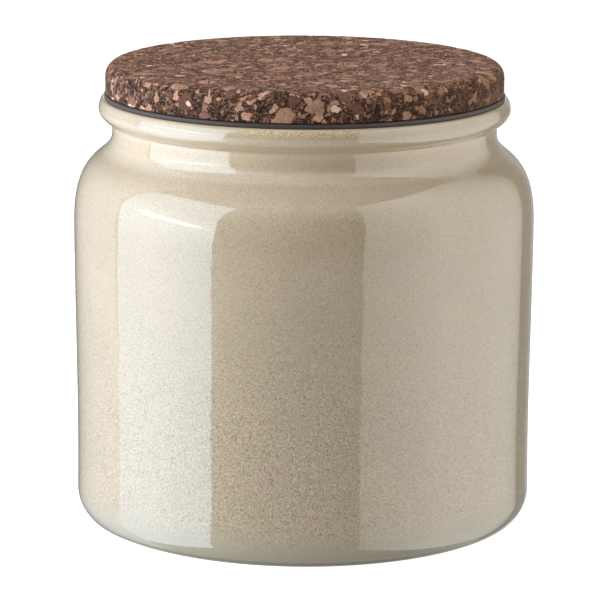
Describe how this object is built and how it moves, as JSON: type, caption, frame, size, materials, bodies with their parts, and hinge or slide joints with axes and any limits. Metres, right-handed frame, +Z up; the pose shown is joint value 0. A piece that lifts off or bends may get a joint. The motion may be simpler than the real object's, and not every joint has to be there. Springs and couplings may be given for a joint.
{
  "type": "stoneware storage jar with cork lid",
  "caption": "Round glazed stoneware storage jar with a rolled rim, closed by a thick pressed-cork lid with a grey silicone sealing ring.",
  "frame": {"origin": "centre of the foot ring, on the surface that the jar stands on", "axes": "+Z up along the jar's axis, -Y towards the viewer"},
  "size_m": [0.125, 0.125, 0.1232],
  "materials": {
    "glazed_stoneware": "glossy reactive glaze, cream with fine speckle",
    "pressed_cork": "matt, granulated",
    "silicone": "satin"
  },
  "bodies": {
    "root": {"jar": "glazed_stoneware", "cork_lid": "pressed_cork", "seal_ring": "silicone"}
  },
  "joints": []
}
